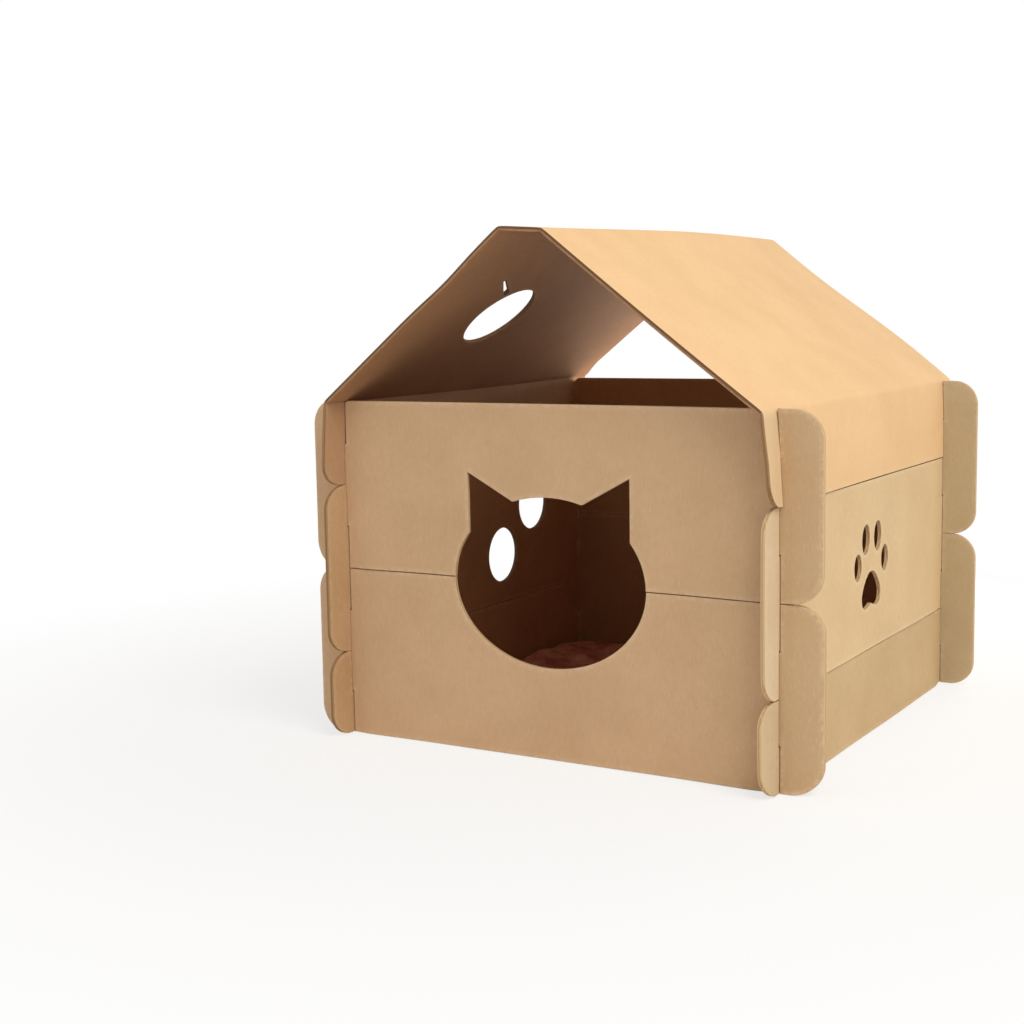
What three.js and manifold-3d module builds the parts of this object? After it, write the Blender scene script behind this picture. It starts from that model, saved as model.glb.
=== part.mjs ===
// A knock-down cat house of corrugated board. Eight wall boards slot into each other at the four
// corners like the logs of a cabin, and one folded sheet drops over them as the roof.
// Millimetres, +Z up. The origin is on the floor under the middle of the house, and the side with
// the cat-head door faces -Y.

import * as THREE from 'three';
import { mergeVertices } from 'three/addons/utils/BufferGeometryUtils.js';
import Module from 'manifold-3d';

const wasm = await Module();
wasm.setup();

// Board and how it fits together
const boardThickness = 4;
const slotPlay = 0.3;
const seamGap = 0.3;
const cutOverrun = 2;

// House
const sideWallSpacing = 404;
const endWallSpacing = 416;
const boardHeight = 148;
const endWallEar = 33;
const sideWallEar = 25;
const endWallCornerRadius = 23;
const sideWallCornerRadius = 20;

// Roof
const ridgeRise = 139;
const ridgeStripWidth = 40;
const foldInnerRadius = 1.5;
const foldRelief = 0.5;
const roofHoleDiameter = 75;
const roofHoleForward = 95.5;
const roofHoleDown = 113.5;
const hangingSlitLength = 32.5;
const hangingSlitWidth = 4.8;
const hangingSlitBeforeHole = 42.5;
const hangingSlitAboveHole = 42;
const hangingSlitAngle = THREE.MathUtils.degToRad(-54);

// Door, a cat's head on the seam between the two front boards
const doorHeadWidth = 180;
const doorHeadHeight = 142;
const doorEarInset = 14;
const doorEarWidth = 43.5;
const doorEarTipRise = 18.5;

// Paw cut in the right wall, placed from the middle of its pad
const padWidth = 48;
const padHeight = 31;
const padBelowBoardMiddle = 22;
const outerToeWidth = 18;
const outerToeHeight = 23;
const outerToeOut = 34;
const outerToeUp = 23;
const innerToeWidth = 19;
const innerToeHeight = 26;
const innerToeOut = 15;
const innerToeUp = 45;
// The pad's outline from its top point down its right side: each row is two curve handles and the
// point they lead to, in shares of the pad's half width and half height. The left side mirrors it.
const padTopShare = [0, 1];
const padSideShares = [
  [[0.42, 1.08], [0.95, 0.15], [1, -0.3]],
  [[1.02, -1.25], [0.45, -1.05], [0, -0.78]],
];

// Round play holes in the left wall: the low one is placed from the middle of its board, and the
// high one from the low one
const playHoleDiameter = 55;
const lowHoleBehindMiddle = 51;
const lowHoleBelowMiddle = 25;
const highHoleBehindLow = 60;
const highHoleAboveLow = 47;

// Mat
const matThickness = 6;
const matGap = 0.5;
const matCornerRadius = 14;
const matEdgeRounding = 3;

// How finely curves are cut
const cornerSteps = 4;
const ovalSteps = 20;
const foldSteps = 3;
const matEdgeSteps = 2;

// Sizes that follow from the ones above
const course = boardHeight / 2;
const lapDepth = course / 2;
const wallHeight = 2 * boardHeight;
const slotWidth = boardThickness + 2 * slotPlay;
const sideWallOuter = (sideWallSpacing + boardThickness) / 2;
const endWallOuter = (endWallSpacing + boardThickness) / 2;
const sideWallInner = sideWallOuter - boardThickness;
const endWallInner = endWallOuter - boardThickness;
const endWallLength = 2 * (sideWallOuter + endWallEar);
const sideWallLength = 2 * (endWallOuter + sideWallEar);
const slopeRun = sideWallOuter - ridgeStripWidth / 2;
const slopeAngle = Math.atan2(ridgeRise, slopeRun);
const quarterTurn = Math.PI / 2;

// Solids

function solidOf(geometry) {
  const bare = geometry.clone();
  bare.deleteAttribute('normal');
  bare.deleteAttribute('uv');
  const merged = mergeVertices(bare);
  const vertProperties = Float32Array.from(merged.attributes.position.array);
  const triVerts = Uint32Array.from(merged.index.array);
  return new wasm.Manifold(new wasm.Mesh({ numProp: 3, vertProperties, triVerts }));
}

function geometryOf(solid) {
  const mesh = solid.getMesh();
  const geometry = new THREE.BufferGeometry();
  geometry.setAttribute('position', new THREE.BufferAttribute(Float32Array.from(mesh.vertProperties), 3));
  geometry.setIndex(new THREE.BufferAttribute(Uint32Array.from(mesh.triVerts), 1));
  const faceted = geometry.toNonIndexed();
  faceted.computeVertexNormals();
  return faceted;
}

// A flat outline given a thickness, half of it on each side of the outline's plane.
function plate(shape, thickness, steps = ovalSteps) {
  const options = { depth: thickness, bevelEnabled: false, curveSegments: steps };
  const geometry = new THREE.ExtrudeGeometry(shape, options);
  geometry.translate(0, 0, -thickness / 2);
  return geometry;
}

// A cutter goes right through a board and past both of its faces.
function cutter(shape, steps = ovalSteps) {
  return solidOf(plate(shape, boardThickness + 2 * cutOverrun, steps));
}

function cutAll(solid, cutters) {
  return cutters.reduce((left, tool) => left.subtract(tool), solid);
}

// Outlines, drawn with x along the board and y up it

function rectangle(left, right, bottom, top) {
  const shape = new THREE.Shape();
  shape.moveTo(left, bottom);
  shape.lineTo(right, bottom);
  shape.lineTo(right, top);
  shape.lineTo(left, top);
  shape.closePath();
  return shape;
}

function roundedRectangle(left, right, bottom, top, wantedRadius) {
  const radius = Math.min(wantedRadius, (right - left) / 2, (top - bottom) / 2);
  const shape = new THREE.Shape();
  shape.moveTo(left + radius, bottom);
  shape.lineTo(right - radius, bottom);
  shape.absarc(right - radius, bottom + radius, radius, -quarterTurn, 0, false);
  shape.absarc(right - radius, top - radius, radius, 0, quarterTurn, false);
  shape.absarc(left + radius, top - radius, radius, quarterTurn, Math.PI, false);
  shape.absarc(left + radius, bottom + radius, radius, Math.PI, 3 * quarterTurn, false);
  return shape;
}

function oval(x, y, width, height) {
  const shape = new THREE.Shape();
  shape.absellipse(x, y, width / 2, height / 2, 0, 2 * Math.PI, false);
  return shape;
}

// The head is an oval centred on (0, middle). An ear is a triangle on it: from its tip one side drops
// straight to the oval, inset from the head's side, and the other slopes in to the ear's foot.
function catHead(middle) {
  const halfWidth = doorHeadWidth / 2;
  const halfHeight = doorHeadHeight / 2;
  const tipX = halfWidth - doorEarInset;
  const tipY = middle + halfHeight + doorEarTipRise;
  const footX = tipX - doorEarWidth;
  const outerAngle = Math.acos(tipX / halfWidth);
  const footAngle = Math.acos(footX / halfWidth);
  const shape = new THREE.Shape();
  shape.moveTo(tipX, middle + halfHeight * Math.sin(outerAngle));
  shape.lineTo(tipX, tipY);
  shape.absellipse(0, middle, halfWidth, halfHeight, footAngle, Math.PI - footAngle, false);
  shape.lineTo(-tipX, tipY);
  shape.absellipse(0, middle, halfWidth, halfHeight, Math.PI - outerAngle, 2 * Math.PI + outerAngle, false);
  return shape;
}

function pawPad(middle) {
  const at = ([across, up], side) => [side * across * padWidth / 2, middle + up * padHeight / 2];
  const shape = new THREE.Shape();
  shape.moveTo(...at(padTopShare, 1));
  for (const [first, second, end] of padSideShares) {
    shape.bezierCurveTo(...at(first, 1), ...at(second, 1), ...at(end, 1));
  }
  const stops = [padTopShare, ...padSideShares.map(([, , end]) => end)];
  for (let index = padSideShares.length - 1; index >= 0; index -= 1) {
    const [first, second] = padSideShares[index];
    shape.bezierCurveTo(...at(second, -1), ...at(first, -1), ...at(stops[index], -1));
  }
  return shape;
}

// Boards
// A board stands on edge. It has a slot at each end where the crossing boards pass, cut from its
// bottom edge where it sits over a lower board, and from its top edge where a higher one sits on it.

function slotCutter(along, bottom, top) {
  return cutter(rectangle(along - slotWidth / 2, along + slotWidth / 2, bottom, top));
}

function slottedBoard({ length, crossing, bottom, height, radius, slotBelow, slotAbove }) {
  const top = bottom + height - seamGap;
  const outline = roundedRectangle(-length / 2, length / 2, bottom, top, radius);
  const slots = [];
  for (const side of [-1, 1]) {
    const along = side * crossing / 2;
    if (slotBelow) {
      slots.push(slotCutter(along, bottom - cutOverrun, bottom + lapDepth + seamGap / 2));
    }
    if (slotAbove) {
      slots.push(slotCutter(along, bottom + height - lapDepth - seamGap / 2, top + cutOverrun));
    }
  }
  return cutAll(solidOf(plate(outline, boardThickness, cornerSteps)), slots);
}

function endWallBoard(bottom) {
  return slottedBoard({
    length: endWallLength,
    crossing: sideWallSpacing,
    bottom,
    height: boardHeight,
    radius: endWallCornerRadius,
    slotBelow: true,
    slotAbove: true,
  });
}

function sideWallBoard(bottom, height, slotBelow) {
  return slottedBoard({
    length: sideWallLength,
    crossing: endWallSpacing,
    bottom,
    height,
    radius: sideWallCornerRadius,
    slotBelow,
    slotAbove: true,
  });
}

// Where the roof leaves its eave it leans over the top edge of the end walls, so their top corners
// are cut back along its underside.
function eaveRelief(side) {
  const lowered = (boardThickness + foldRelief) / Math.cos(slopeAngle);
  const inward = (lowered + cutOverrun) / Math.tan(slopeAngle);
  const shape = new THREE.Shape();
  shape.moveTo(side * sideWallOuter, wallHeight - lowered);
  shape.lineTo(side * (sideWallOuter - inward), wallHeight + cutOverrun);
  shape.lineTo(side * sideWallOuter, wallHeight + cutOverrun);
  shape.closePath();
  return cutter(shape);
}

function pawCutters(middle) {
  const padMiddle = middle - padBelowBoardMiddle;
  const cutters = [cutter(pawPad(padMiddle), cornerSteps)];
  for (const side of [-1, 1]) {
    const outer = oval(side * outerToeOut, padMiddle + outerToeUp, outerToeWidth, outerToeHeight);
    const inner = oval(side * innerToeOut, padMiddle + innerToeUp, innerToeWidth, innerToeHeight);
    cutters.push(cutter(outer), cutter(inner));
  }
  return cutters;
}

function playHoleCutters(middle) {
  const along = lowHoleBehindMiddle;
  const up = middle - lowHoleBelowMiddle;
  const low = oval(along, up, playHoleDiameter, playHoleDiameter);
  const high = oval(along + highHoleBehindLow, up + highHoleAboveLow, playHoleDiameter, playHoleDiameter);
  return [cutter(low), cutter(high)];
}

// Roof
// One sheet folded at two eaves and at both edges of a narrow flat ridge. Its section is drawn from
// the sharp outer corners: each fold is an arc of foldInnerRadius inside and of that plus the board
// outside, about one centre.

function roofSection() {
  const bottom = wallHeight - course;
  const ridge = wallHeight + ridgeRise;
  const corners = [
    [-sideWallOuter, wallHeight],
    [-ridgeStripWidth / 2, ridge],
    [ridgeStripWidth / 2, ridge],
    [sideWallOuter, wallHeight],
  ];
  const headings = [quarterTurn, slopeAngle, 0, -slopeAngle, -quarterTurn];
  const outerRadius = foldInnerRadius + boardThickness;
  const folds = corners.map(([x, y], index) => {
    const start = headings[index] + quarterTurn;
    const end = headings[index + 1] + quarterTurn;
    const reach = outerRadius / Math.cos((start - end) / 2);
    const middle = (start + end) / 2;
    return { x: x - reach * Math.cos(middle), y: y - reach * Math.sin(middle), start, end };
  });
  const shape = new THREE.Shape();
  shape.moveTo(-sideWallInner, bottom);
  shape.lineTo(-sideWallOuter, bottom);
  for (const fold of folds) {
    shape.absarc(fold.x, fold.y, outerRadius, fold.start, fold.end, true);
  }
  shape.lineTo(sideWallOuter, bottom);
  shape.lineTo(sideWallInner, bottom);
  for (const fold of folds.reverse()) {
    shape.absarc(fold.x, fold.y, foldInnerRadius, fold.end, fold.start, false);
  }
  shape.closePath();
  return shape;
}

// Lays a cutter made at the origin on the left slope: down is the distance from the ridge fold along
// the slope, and forward is the distance from the middle of the house towards the front.
function onLeftSlope(geometry, down, forward) {
  const x = -ridgeStripWidth / 2 - down * Math.cos(slopeAngle);
  const y = wallHeight + ridgeRise - down * Math.sin(slopeAngle);
  const placed = geometry.clone();
  placed.rotateX(-quarterTurn);
  placed.rotateZ(slopeAngle);
  placed.translate(x, y, forward);
  return solidOf(placed);
}

function roofSheet() {
  const sheet = solidOf(plate(roofSection(), sideWallLength, foldSteps));
  const bottom = wallHeight - course;
  const top = wallHeight + ridgeRise + sideWallCornerRadius + cutOverrun;
  const half = sideWallLength / 2;
  const outline = roundedRectangle(-half, half, bottom, top, sideWallCornerRadius);
  const sideView = plate(outline, 2 * (sideWallOuter + cutOverrun), cornerSteps);
  sideView.rotateY(quarterTurn);
  const slots = [-1, 1].map((side) => {
    const low = bottom - cutOverrun;
    const high = bottom + lapDepth + seamGap / 2;
    const along = side * endWallSpacing / 2;
    const slot = rectangle(along - slotWidth / 2, along + slotWidth / 2, low, high);
    const bar = plate(slot, 2 * (sideWallOuter + cutOverrun));
    bar.rotateY(quarterTurn);
    return solidOf(bar);
  });
  const deep = 2 * (boardThickness + cutOverrun);
  const hole = plate(oval(0, 0, roofHoleDiameter, roofHoleDiameter), deep);
  const halfSlit = hangingSlitLength / 2;
  const halfGap = hangingSlitWidth / 2;
  const slit = plate(roundedRectangle(-halfSlit, halfSlit, -halfGap, halfGap, halfGap), deep, cornerSteps);
  slit.rotateZ(hangingSlitAngle);
  const slitDown = roofHoleDown - hangingSlitAboveHole;
  const slitForward = roofHoleForward + hangingSlitBeforeHole;
  const openings = [
    onLeftSlope(hole, roofHoleDown, roofHoleForward),
    onLeftSlope(slit, slitDown, slitForward),
  ];
  return cutAll(sheet.intersect(solidOf(sideView)), [...slots, ...openings]);
}

// Mat

function floorMat() {
  const rounding = Math.min(matEdgeRounding, matThickness / 3);
  const halfWidth = sideWallInner - matGap - rounding;
  const halfDepth = endWallInner - matGap - rounding;
  const outline = roundedRectangle(-halfWidth, halfWidth, -halfDepth, halfDepth, matCornerRadius);
  const options = {
    depth: matThickness - 2 * rounding,
    bevelSize: rounding,
    bevelThickness: rounding,
    bevelSegments: matEdgeSteps,
    curveSegments: cornerSteps,
  };
  const geometry = new THREE.ExtrudeGeometry(outline, options);
  geometry.translate(0, 0, rounding);
  return geometryOf(solidOf(geometry));
}

// Scene

const kraftShades = {
  roof: 0xe9c592,
  side: 0xdcbc8a,
  end: 0xc2a07a,
};

function piece(name, geometry, color, roughness = 0.92) {
  const material = new THREE.MeshStandardMaterial({ color, roughness, metalness: 0, flatShading: true });
  const mesh = new THREE.Mesh(geometry, material);
  mesh.name = name;
  return mesh;
}

// Stands a drawn board up on its edge: what was drawn upwards now points up.
function standing(name, solid, color, across) {
  const mesh = piece(name, geometryOf(solid), color);
  mesh.rotation.x = quarterTurn;
  mesh.position.y = across;
  return mesh;
}

const house = new THREE.Group();

const front = -endWallSpacing / 2;
const back = endWallSpacing / 2;
const door = cutter(catHead(boardHeight));
const reliefs = [eaveRelief(-1), eaveRelief(1)];
const upperWall = cutAll(endWallBoard(boardHeight), reliefs);
house.add(
  standing('front_lower', endWallBoard(0).subtract(door), kraftShades.end, front),
  standing('back_lower', endWallBoard(0), kraftShades.end, back),
  standing('front_upper', upperWall.subtract(door), kraftShades.end, front),
  standing('back_upper', upperWall, kraftShades.end, back),
);

// In this group the boards run front to back, with its -Y side on the right of the house.
const sideWalls = new THREE.Group();
sideWalls.rotation.z = quarterTurn;
const right = -sideWallSpacing / 2;
const left = sideWallSpacing / 2;
const middleOfSide = course + boardHeight / 2;
const middleBoard = sideWallBoard(course, boardHeight, true);
const pawBoard = cutAll(middleBoard, pawCutters(middleOfSide));
const playBoard = cutAll(middleBoard, playHoleCutters(middleOfSide));
sideWalls.add(
  standing('side_bottom_right', sideWallBoard(0, course, false), kraftShades.side, right),
  standing('side_bottom_left', sideWallBoard(0, course, false), kraftShades.side, left),
  standing('side_middle_right', pawBoard, kraftShades.side, right),
  standing('side_middle_left', playBoard, kraftShades.side, left),
);
house.add(sideWalls);

house.add(standing('roof_sheet', roofSheet(), kraftShades.roof, 0));
house.add(piece('floor_mat', floorMat(), 0x6b3a28));

export default house;
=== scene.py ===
# %% [markdown]
# A knock-down cat house of corrugated board: eight kraft boards slot together at the corners like the
# logs of a cabin, one folded sheet makes the roof, and a fleece mat lies inside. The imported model
# fixes every size and place. Here each board is made again with cut edges that show the wavy paper
# inside, soft lips where the knife crushed it, and the slight bows of real board.

import math

import bpy
import numpy as np
from mathutils import Matrix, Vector
from mathutils.geometry import delaunay_2d_cdt


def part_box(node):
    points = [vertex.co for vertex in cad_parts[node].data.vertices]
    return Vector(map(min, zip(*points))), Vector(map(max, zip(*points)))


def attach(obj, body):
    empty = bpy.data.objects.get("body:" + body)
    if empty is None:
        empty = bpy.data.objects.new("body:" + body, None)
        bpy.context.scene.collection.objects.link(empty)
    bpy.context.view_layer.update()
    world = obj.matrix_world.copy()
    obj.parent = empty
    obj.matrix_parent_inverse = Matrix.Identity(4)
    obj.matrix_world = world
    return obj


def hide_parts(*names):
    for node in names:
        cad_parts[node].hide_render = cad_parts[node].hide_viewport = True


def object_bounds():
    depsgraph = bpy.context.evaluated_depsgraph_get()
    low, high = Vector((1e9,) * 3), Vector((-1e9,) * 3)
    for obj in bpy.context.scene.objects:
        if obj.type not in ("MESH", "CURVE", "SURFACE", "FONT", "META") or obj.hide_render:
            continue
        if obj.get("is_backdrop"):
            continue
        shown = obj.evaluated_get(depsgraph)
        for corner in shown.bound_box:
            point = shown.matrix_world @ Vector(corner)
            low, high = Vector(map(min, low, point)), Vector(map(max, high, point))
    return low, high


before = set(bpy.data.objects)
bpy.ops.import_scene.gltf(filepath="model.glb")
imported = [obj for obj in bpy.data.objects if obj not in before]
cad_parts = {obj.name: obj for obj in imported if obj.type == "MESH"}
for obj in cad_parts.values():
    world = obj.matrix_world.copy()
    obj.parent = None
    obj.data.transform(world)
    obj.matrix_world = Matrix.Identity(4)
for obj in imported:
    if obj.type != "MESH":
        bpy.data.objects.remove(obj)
cad_low, cad_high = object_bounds()
mm = 0.001
print("the packed model is", [round(size / mm) for size in cad_high - cad_low], "mm")

# %% [markdown]
# The camera comes first, because it decides what shows of every piece. It stands in front of the
# house and to its right, a little below the ridge. Its place and angles were solved from the corners.

# %% Place the camera
camera_place = (0.6620, -1.3487, 0.3766)
camera_yaw, camera_pitch, camera_roll = np.radians((31.32, -7.28, -1.08))
focal_length, sensor_width = 57.26, 36.0


def posed(right, up, back, place):
    """A matrix from an object's place and the ways in which its x, y and z axes point."""
    matrix = np.eye(4)
    matrix[:3] = np.stack((right, up, back, place), axis=1)
    return Matrix(matrix)


def looking(place, yaw, pitch, roll):
    """A camera's matrix. It looks along (-sin yaw cos pitch, cos yaw cos pitch, sin pitch), with yaw
    counted left of +Y. Right is (cos yaw, sin yaw, 0), up is right x ahead, and both turn by roll."""
    ahead = np.array((-math.sin(yaw) * math.cos(pitch), math.cos(yaw) * math.cos(pitch), math.sin(pitch)))
    right = np.array((math.cos(yaw), math.sin(yaw), 0))
    up = np.cross(right, ahead)
    cos, sin = math.cos(roll), math.sin(roll)
    return posed(cos * right + sin * up, cos * up - sin * right, -ahead, place)


camera_data = bpy.data.cameras.new("camera")
camera_data.lens, camera_data.sensor_width = focal_length, sensor_width
camera = bpy.data.objects.new("camera", camera_data)
camera.matrix_world = looking(camera_place, camera_yaw, camera_pitch, camera_roll)
bpy.context.scene.collection.objects.link(camera)
bpy.context.scene.camera = camera
print("the camera stands", [round(x, 2) for x in camera_place], "m from the middle of the floor")

# %% [markdown]
# A board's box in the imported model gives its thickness, its length and the height that it stands at.
# What a box can't give, such as slots, rounded corners and holes, is written once, in millimetres.
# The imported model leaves 0.3 mm of air in each seam. Real boards rest on each other, so most of that
# gap is closed here.

# %% Read the boards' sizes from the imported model
floor_low, floor_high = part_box("floor_mat")
front_low, front_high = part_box("front_lower")
side_low, side_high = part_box("side_middle_right")
roof_low, roof_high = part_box("roof_sheet")

thickness = front_high.y - front_low.y
end_plane = -(front_low.y + front_high.y) / 2
side_plane = (side_low.x + side_high.x) / 2
end_reach, side_reach = front_high.x, side_high.y
seam_gap, seam_closed = 0.3 * mm, 0.26 * mm
seam_height = front_high.z + seam_gap
wall_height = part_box("front_upper")[1].z + seam_gap
course = wall_height / 4
slot_width = thickness + 0.6 * mm
slot_depth = course / 2 + seam_gap / 2
end_corner, side_corner = 23 * mm, 20 * mm
ridge_width = 40 * mm
print("board", round(thickness / mm, 2), "mm thick, walls", round(wall_height / mm), "mm high")

# %% [markdown]
# An outline is a closed line with the material on its left: the outer edge runs anticlockwise and a
# hole runs clockwise. Dividing the long straight cuts lets the outline follow a bow or a fold, and
# gives the wavy paper in the cut edge enough points to show.

# %% Outline helpers
cut_step, curve_points, same_point = 1.25 * mm, 14, 0.01 * mm
least_turn, tiny, slack = 0.62, 1e-12, 0.01


def arc(centre, radii, start, end):
    """Points on an oval: centre + radii * (cos a, sin a), with a going from start to end in degrees."""
    radii = np.broadcast_to(radii, 2)
    turn = math.radians(end - start)
    angles = math.radians(start) + np.linspace(0, turn, 2 + int(abs(turn) * radii.max() / cut_step))
    return np.array(centre) + radii * np.stack((np.cos(angles), np.sin(angles)), axis=1)


def bezier(first, handle, other, last):
    """A cubic curve: (1-t)^3 first + 3(1-t)^2 t handle + 3(1-t) t^2 other + t^3 last."""
    t = np.linspace(0, 1, curve_points)[:, None]
    points = [np.array(point, float) for point in (first, handle, other, last)]
    weights = ((1 - t) ** 3, 3 * (1 - t) ** 2 * t, 3 * (1 - t) * t**2, t**3)
    return sum(weight * point for weight, point in zip(weights, points))


def grid(xs, ys):
    """Every pair of an x and a y, as rows."""
    return np.stack(np.meshgrid(xs, ys), axis=-1).reshape(-1, 2)


def joined(*stretches):
    """One closed loop from stretches of points, without the points that repeat the one before."""
    loop = np.concatenate([np.atleast_2d(stretch) for stretch in stretches])
    fresh = np.linalg.norm(loop - np.roll(loop, 1, axis=0), axis=1) > same_point
    return loop[fresh]


def rounded(low, high, corner, bottom=(), right=(), top=(), left=()):
    """A rectangle from low to high with quarter-round corners, and detours along its four edges, each
    in the order in which the walk meets them."""
    (x0, y0), (x1, y1) = np.array(low) + corner, np.array(high) - corner
    return joined(arc((x0, y0), corner, 180, 270), *bottom, arc((x1, y0), corner, 270, 360), *right,
                  arc((x1, y1), corner, 0, 90), *top, arc((x0, y1), corner, 90, 180), *left)


def divided(loop, step=cut_step):
    """Splits each side into equal parts no longer than step: a + (b - a) k / n, for k from 0 to n-1."""
    sides = np.roll(loop, -1, axis=0) - loop
    counts = np.maximum(1, np.ceil(np.linalg.norm(sides, axis=1) / step - slack).astype(int))
    side = np.repeat(np.arange(len(loop)), counts)
    share = (np.arange(counts.sum()) - (np.cumsum(counts) - counts)[side]) / counts[side]
    return loop[side] + sides[side] * share[:, None]


def outward(loop):
    """The way out of the material at each point: the mean of the right-hand normals of its two sides,
    longer at a corner so that both sides shift alike, but at most 1.6 times."""
    sides = np.roll(loop, -1, axis=0) - loop
    normals = np.stack((sides[:, 1], -sides[:, 0]), axis=1)
    normals /= np.linalg.norm(normals, axis=1, keepdims=True)
    mean = normals + np.roll(normals, 1, axis=0)
    mean /= np.maximum(np.linalg.norm(mean, axis=1, keepdims=True), tiny)
    return mean / np.maximum((mean * normals).sum(1), least_turn)[:, None]


def inside(points, loops):
    """True where a line from the point towards +x crosses the loops an odd number of times."""
    start = np.concatenate(loops)
    end = np.concatenate([np.roll(loop, -1, axis=0) for loop in loops])
    x, y = points[:, :1], points[:, 1:]
    spans = (start[:, 1] > y) != (end[:, 1] > y)
    run, rise = (end - start).T
    at = start[:, 0] + (y - start[:, 1]) / np.where(np.abs(rise) < tiny, tiny, rise) * run
    return (spans & (at > x)).sum(1) % 2 == 1


# %% [markdown]
# Paper is never quite even. Slow waves of a few random directions, added up, give a soft unevenness.
# It is the same on every run, because the directions and phases come from a fixed seed.

# %% Soft unevenness
waves, shortest_wave, longest_wave, wave_gain = 5, 0.7, 1.4, 1.6


def uneven(x, y, length, seed):
    """A smooth value from about -1 to 1: the mean of five sines of x cos a + y sin a, each roughly
    one length long, with angles and phases drawn from the seed."""
    draw = np.random.default_rng(seed)
    angles, phases = draw.uniform(0, 2 * math.pi, (2, waves))
    lengths = length * draw.uniform(shortest_wave, longest_wave, waves)
    along = np.multiply.outer(x, np.cos(angles)) + np.multiply.outer(y, np.sin(angles))
    return np.sin(2 * math.pi * along / lengths + phases).mean(-1) * wave_gain


def eased(value):
    """Rises smoothly from 0 to 1 as value does: 3 v^2 - 2 v^3."""
    value = np.clip(value, 0, 1)
    return value * value * (3 - 2 * value)


# %% [markdown]
# Corrugated board is three papers: two flat liners with a wavy one, the medium, glued between them.
# A cut across the waves shows a sine line and a cut along them a straight one. Both come from one
# rule: the medium's height depends only on the place across the flutes. The hollows between the
# papers are sunk 0.4 mm into the cut edge, and the die has pressed the edge's corners round.

# %% The cut edge of corrugated board
flute_pitch = 7.6 * mm
flute_drift, drift_length = 0.35, 60 * mm
liner, medium = 0.55 * mm, 0.42 * mm
hollow_depth, lip, edge_rows = 0.4 * mm, 1.0 * mm, 11


def edge_profile():
    """The rows that are carried round a cut, from the outer face to the inner one: how far each lies
    through the board, and how far in from the cut. Both ends are quarter rounds of radius lip."""
    quarter = np.radians((90, 60, 30))
    through = np.concatenate((thickness / 2 - lip + lip * np.sin(quarter),
                              np.linspace(thickness / 2 - lip, lip - thickness / 2, edge_rows),
                              lip - thickness / 2 - lip * np.sin(quarter[::-1])))
    sunk = np.concatenate((lip - lip * np.cos(quarter), np.zeros(edge_rows),
                           lip - lip * np.cos(quarter[::-1])))
    return through, sunk


def paper_in_cut(across, through, seed):
    """1 on paper and 0 in a hollow. Paper is within one liner of a face, or near the medium, whose
    height is a sin(2 pi x / pitch): exp(-(distance / width)^2), wider where the wave is steep."""
    crest = thickness / 2 - liner
    drift = flute_drift * uneven(across, through * 0, drift_length, seed)
    phase = 2 * math.pi * across / flute_pitch + drift
    steep = crest * 2 * math.pi / flute_pitch * np.cos(phase)
    width = medium * np.sqrt(1 + steep**2)
    wave = np.exp(-(((through - crest * np.sin(phase)) / width) ** 2))
    faces = eased((np.abs(through) - thickness / 2 + 2 * liner) / liner)
    return np.maximum(wave, faces)


through_rows, sunk_rows = edge_profile()
print(len(through_rows), "rows carry the cut edge's profile")

# %% [markdown]
# A board's two faces are filled between the outline and a lattice of inner points, which lets them
# bow, and the cut edge joins them into one closed skin. A row of points 4 mm inside the cut holds the
# crushed margin, where the knife pressed the liners together.

# %% Build one board
lattice_step, margin, crush = 10 * mm, 4 * mm, 0.18 * mm
row_stride, sharp_angle, cdt_slack = 4, math.radians(52), 1e-9
outer_face, inner_face, plain_cut, ear_face, crushed_shade_cut, hole_cut = range(6)


def face_points(rims, extra):
    """The inner points of a face: a lattice, a row one margin inside the rims, and the extra ones,
    without those that lie outside the rims or nearer to them than half a margin."""
    every = np.concatenate(rims)
    low, high = every.min(0), every.max(0)
    sides = [np.arange(low[k] + lattice_step / 2, high[k], lattice_step) for k in (0, 1)]
    lattice = grid(*sides)
    lattice = lattice[nearest(lattice, extra) > lattice_step / 2]
    row = np.concatenate([(rim - margin * outward(rim))[::row_stride] for rim in rims])
    points = np.concatenate((lattice, extra))
    points = points[nearest(points, row) > margin / 2]
    points = np.concatenate((row, points))
    points = points[inside(points, rims)]
    return points[nearest(points, every) > margin / 2]


def nearest(points, others):
    """The distance from each point to the nearest of the others."""
    squares = (points**2).sum(1)[:, None] + (others**2).sum(1) - 2 * points @ others.T
    return np.sqrt(np.maximum(squares.min(1), 0))


def filled(rims, extra):
    """The points of a face, the rims' first, and its triangles, each anticlockwise."""
    ahead = after_each(rims)
    points = np.concatenate((*rims, face_points(rims, extra)))
    edges = np.stack((np.arange(len(ahead)), ahead), axis=1)
    made = delaunay_2d_cdt(points.tolist(), edges.tolist(), [], 0, cdt_slack)
    triangles = np.array(made[2])
    if len(made[0]) != len(points):
        raise ValueError("two points of an outline lie on each other")
    corners = points[triangles]
    first, second = corners[:, 1] - corners[:, 0], corners[:, 2] - corners[:, 0]
    area = first[:, 0] * second[:, 1] - first[:, 1] * second[:, 0]
    triangles[area < 0] = triangles[area < 0][:, ::-1]
    return points, triangles[inside(corners.mean(1), rims)]


def after_each(loops):
    """For each point of the loops laid end to end, the number of the next point round its loop."""
    starts = np.cumsum([0] + [len(loop) for loop in loops])
    return np.concatenate([np.roll(np.arange(a, b), -1) for a, b in zip(starts, starts[1:])])


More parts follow.
